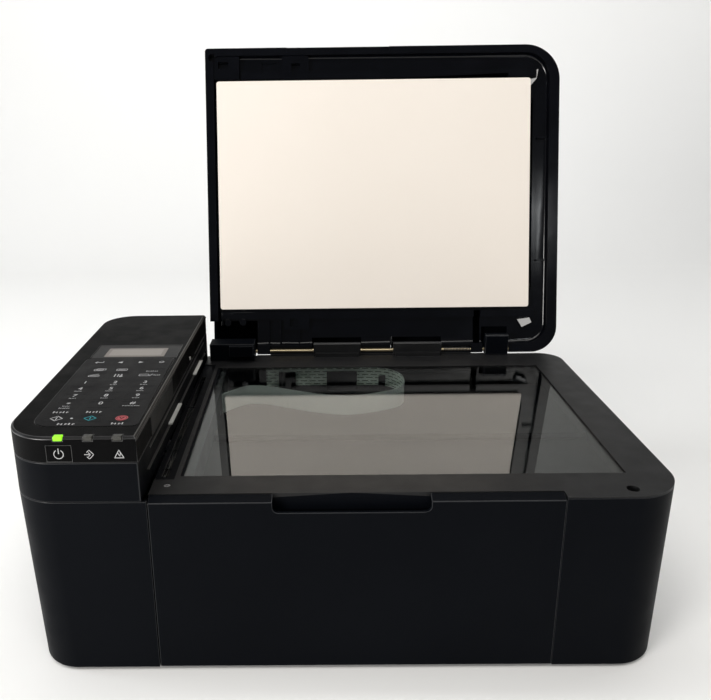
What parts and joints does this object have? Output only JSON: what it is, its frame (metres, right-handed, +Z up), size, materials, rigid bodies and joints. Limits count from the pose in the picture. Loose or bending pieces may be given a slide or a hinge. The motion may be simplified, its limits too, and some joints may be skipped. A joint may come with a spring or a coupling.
{
  "type": "inkjet printer",
  "caption": "Compact all-in-one inkjet printer with flatbed glass, document feeder lid standing open, control panel block on the left and drop-down front cover.",
  "frame": {"origin": "middle of the footprint of the whole machine with its lid open, on the surface it stands on", "axes": "+X to the right seen from the front, +Y towards the back, +Z up"},
  "size_m": [0.435, 0.4138, 0.4181],
  "materials": {
    "case_plastic": "fine matte texture",
    "frame_plastic": "fine matte texture",
    "gloss_plastic": "polished",
    "inner_plastic": "moulded",
    "overlay_film": "satin film",
    "cream_pad": "smooth white sheet on foam",
    "grey_plastic": "moulded",
    "natural_plastic": "moulded",
    "platen_glass": "polished",
    "light_lens": "frosted clear",
    "ribbon_film": "printed film",
    "rubber": "matte",
    "circuit_board": "solder mask",
    "steel": "bright zinc"
  },
  "bodies": {
    "printer_body": {"bottom_case": "inner_plastic", "left_side_cover": "case_plastic", "right_side_cover": "case_plastic", "rear_cover": "case_plastic", "foot_front_left": "rubber", "foot_front_right": "rubber", "foot_rear_left": "rubber", "foot_rear_right": "rubber", "scanner_tub": "inner_plastic", "platen_frame": "frame_plastic", "platen_glass": "platen_glass", "adf_glass": "platen_glass", "hinge_post_left": "frame_plastic", "hinge_post_right": "frame_plastic", "scan_rail": "steel", "scan_belt": "rubber", "scan_cable": "ribbon_film", "panel_base": "case_plastic", "panel_housing": "frame_plastic", "keypad_overlay": "overlay_film", "lcd_module": "gloss_plastic", "status_light_guide": "light_lens", "chassis": "steel", "feed_motor": "steel", "print_platen": "inner_plastic", "timing_belt": "rubber", "carriage_motor": "steel", "purge_unit": "grey_plastic", "paper_tray": "inner_plastic", "output_tray": "inner_plastic", "main_board": "circuit_board", "power_supply": "inner_plastic"},
    "lid": {"lid_inner_frame": "gloss_plastic", "lid_outer_shell": "case_plastic", "platen_pad": "cream_pad", "hinge_rod": "steel", "adf_frame": "inner_plastic"},
    "print_carriage": {"print_carriage": "inner_plastic", "black_cartridge": "case_plastic", "colour_cartridge": "grey_plastic"},
    "front_cover": {"front_cover": "case_plastic"},
    "transport_cover": {"transport_cover": "case_plastic"},
    "power_button": {"power_button": "case_plastic"},
    "adf_cover": {"adf_cover": "case_plastic"},
    "adf_tray": {"adf_tray": "case_plastic"},
    "adf_guide_front": {"adf_guide_front": "frame_plastic"},
    "adf_guide_rear": {"adf_guide_rear": "frame_plastic"},
    "adf_feed_roller": {"adf_feed_roller": "rubber"},
    "adf_pickup_roller": {"adf_pickup_roller": "rubber"},
    "scan_carriage": {"scan_carriage": "inner_plastic"},
    "scan_drive_gear": {"scan_drive_gear": "natural_plastic"},
    "carriage_pulley": {"carriage_pulley": "natural_plastic"},
    "feed_roller": {"feed_roller": "rubber"},
    "discharge_roller": {"discharge_roller": "rubber"},
    "idler_gear": {"idler_gear": "natural_plastic"},
    "feed_pinion": {"feed_pinion": "natural_plastic"},
    "pickup_arm": {"pickup_arm": "inner_plastic"},
    "pickup_roller": {"pickup_roller": "rubber"},
    "paper_guide_left": {"paper_guide_left": "frame_plastic"},
    "paper_guide_right": {"paper_guide_right": "frame_plastic"}
  },
  "joints": [
    {"name": "lid_hinge", "type": "hinge", "parent": "printer_body", "child": "lid", "pos_m": [0, 0.08527, 0.1335], "axis": [1, 0, 0], "range_deg": [0, 103.4]},
    {"name": "front_cover_hinge", "type": "hinge", "parent": "printer_body", "child": "front_cover", "pos_m": [0.006, -0.20173, 0.006], "axis": [1, 0, 0], "range_deg": [0, 90]},
    {"name": "transport_cover_hinge", "type": "hinge", "parent": "printer_body", "child": "transport_cover", "pos_m": [0.006, 0.07997, 0.0162], "axis": [-1, 0, 0], "range_deg": [0, 90]},
    {"name": "power_button_press", "type": "slide", "parent": "printer_body", "child": "power_button", "axis": [0, 1, 0], "range_m": [0, 0.0008], "stiffness_N_per_m": 1500},
    {"name": "scan_slide", "type": "slide", "parent": "printer_body", "child": "scan_carriage", "axis": [1, 0, 0], "range_m": [0, 0.297], "deforming": ["scan_cable"]},
    {"name": "scan_gear_spin", "type": "hinge", "parent": "scan_carriage", "child": "scan_drive_gear", "pos_m": [-0.112, -0.14473, 0.107], "axis": [0, 1, 0], "continuous": true},
    {"name": "print_carriage_slide", "type": "slide", "parent": "printer_body", "child": "print_carriage", "axis": [-1, 0, 0], "range_m": [0, 0.245]},
    {"name": "carriage_pulley_spin", "type": "hinge", "parent": "printer_body", "child": "carriage_pulley", "pos_m": [-0.108, -0.01873, 0.066], "axis": [0, 1, 0], "continuous": true},
    {"name": "feed_roller_spin", "type": "hinge", "parent": "printer_body", "child": "feed_roller", "pos_m": [0, -0.04173, 0.045], "axis": [1, 0, 0], "continuous": true},
    {"name": "idler_gear_spin", "type": "hinge", "parent": "printer_body", "child": "idler_gear", "pos_m": [-0.128, -0.06973, 0.045], "axis": [1, 0, 0], "continuous": true},
    {"name": "discharge_roller_spin", "type": "hinge", "parent": "printer_body", "child": "discharge_roller", "pos_m": [0, -0.09473, 0.045], "axis": [1, 0, 0], "continuous": true},
    {"name": "feed_pinion_spin", "type": "hinge", "parent": "printer_body", "child": "feed_pinion", "pos_m": [-0.128, -0.02258, 0.06107], "axis": [1, 0, 0], "continuous": true},
    {"name": "pickup_arm_lift", "type": "hinge", "parent": "printer_body", "child": "pickup_arm", "pos_m": [0.006, 0.00527, 0.052], "axis": [-1, 0, 0], "range_deg": [0, 10]},
    {"name": "pickup_roller_spin", "type": "hinge", "parent": "pickup_arm", "child": "pickup_roller", "pos_m": [0.01, -0.02673, 0.0195], "axis": [1, 0, 0], "continuous": true},
    {"name": "paper_guide_left_slide", "type": "slide", "parent": "printer_body", "child": "paper_guide_left", "axis": [1, 0, 0], "range_m": [0, 0.057]},
    {"name": "paper_guide_right_slide", "type": "slide", "parent": "printer_body", "child": "paper_guide_right", "axis": [1, 0, 0], "range_m": [-0.057, 0]},
    {"name": "adf_cover_hinge", "type": "hinge", "parent": "lid", "child": "adf_cover", "pos_m": [-0.117, 0.16508, 0.26354], "axis": [0, 0.2317, 0.9728], "range_deg": [0, 75]},
    {"name": "adf_tray_hinge", "type": "hinge", "parent": "lid", "child": "adf_tray", "pos_m": [0.0575, 0.16751, 0.26297], "axis": [0, -0.2317, -0.9728], "range_deg": [0, 150]},
    {"name": "adf_guide_front_slide", "type": "slide", "parent": "lid", "child": "adf_guide_front", "axis": [0, -0.2317, -0.9728], "range_m": [0, 0.034]},
    {"name": "adf_guide_rear_slide", "type": "slide", "parent": "lid", "child": "adf_guide_rear", "axis": [0, -0.2317, -0.9728], "range_m": [-0.034, 0]},
    {"name": "adf_feed_spin", "type": "hinge", "parent": "lid", "child": "adf_feed_roller", "pos_m": [-0.088, 0.16054, 0.27902], "axis": [0, -0.2317, -0.9728], "continuous": true},
    {"name": "adf_pickup_spin", "type": "hinge", "parent": "lid", "child": "adf_pickup_roller", "pos_m": [-0.062, 0.16609, 0.2777], "axis": [0, -0.2317, -0.9728], "continuous": true}
  ],
  "couplings": [
    {"joint": "scan_gear_spin", "follows": "scan_slide", "rad_per_m": 250},
    {"joint": "carriage_pulley_spin", "follows": "print_carriage_slide", "rad_per_m": 149.25},
    {"joint": "idler_gear_spin", "follows": "feed_roller_spin", "ratio": -1.8},
    {"joint": "discharge_roller_spin", "follows": "feed_roller_spin", "ratio": 1.2},
    {"joint": "feed_pinion_spin", "follows": "feed_roller_spin", "ratio": -2.5714},
    {"joint": "pickup_roller_spin", "follows": "feed_roller_spin", "ratio": 0.55556},
    {"joint": "paper_guide_right_slide", "follows": "paper_guide_left_slide", "ratio": -1},
    {"joint": "adf_guide_rear_slide", "follows": "adf_guide_front_slide", "ratio": -1},
    {"joint": "adf_pickup_spin", "follows": "adf_feed_spin", "ratio": -1.2857}
  ]
}
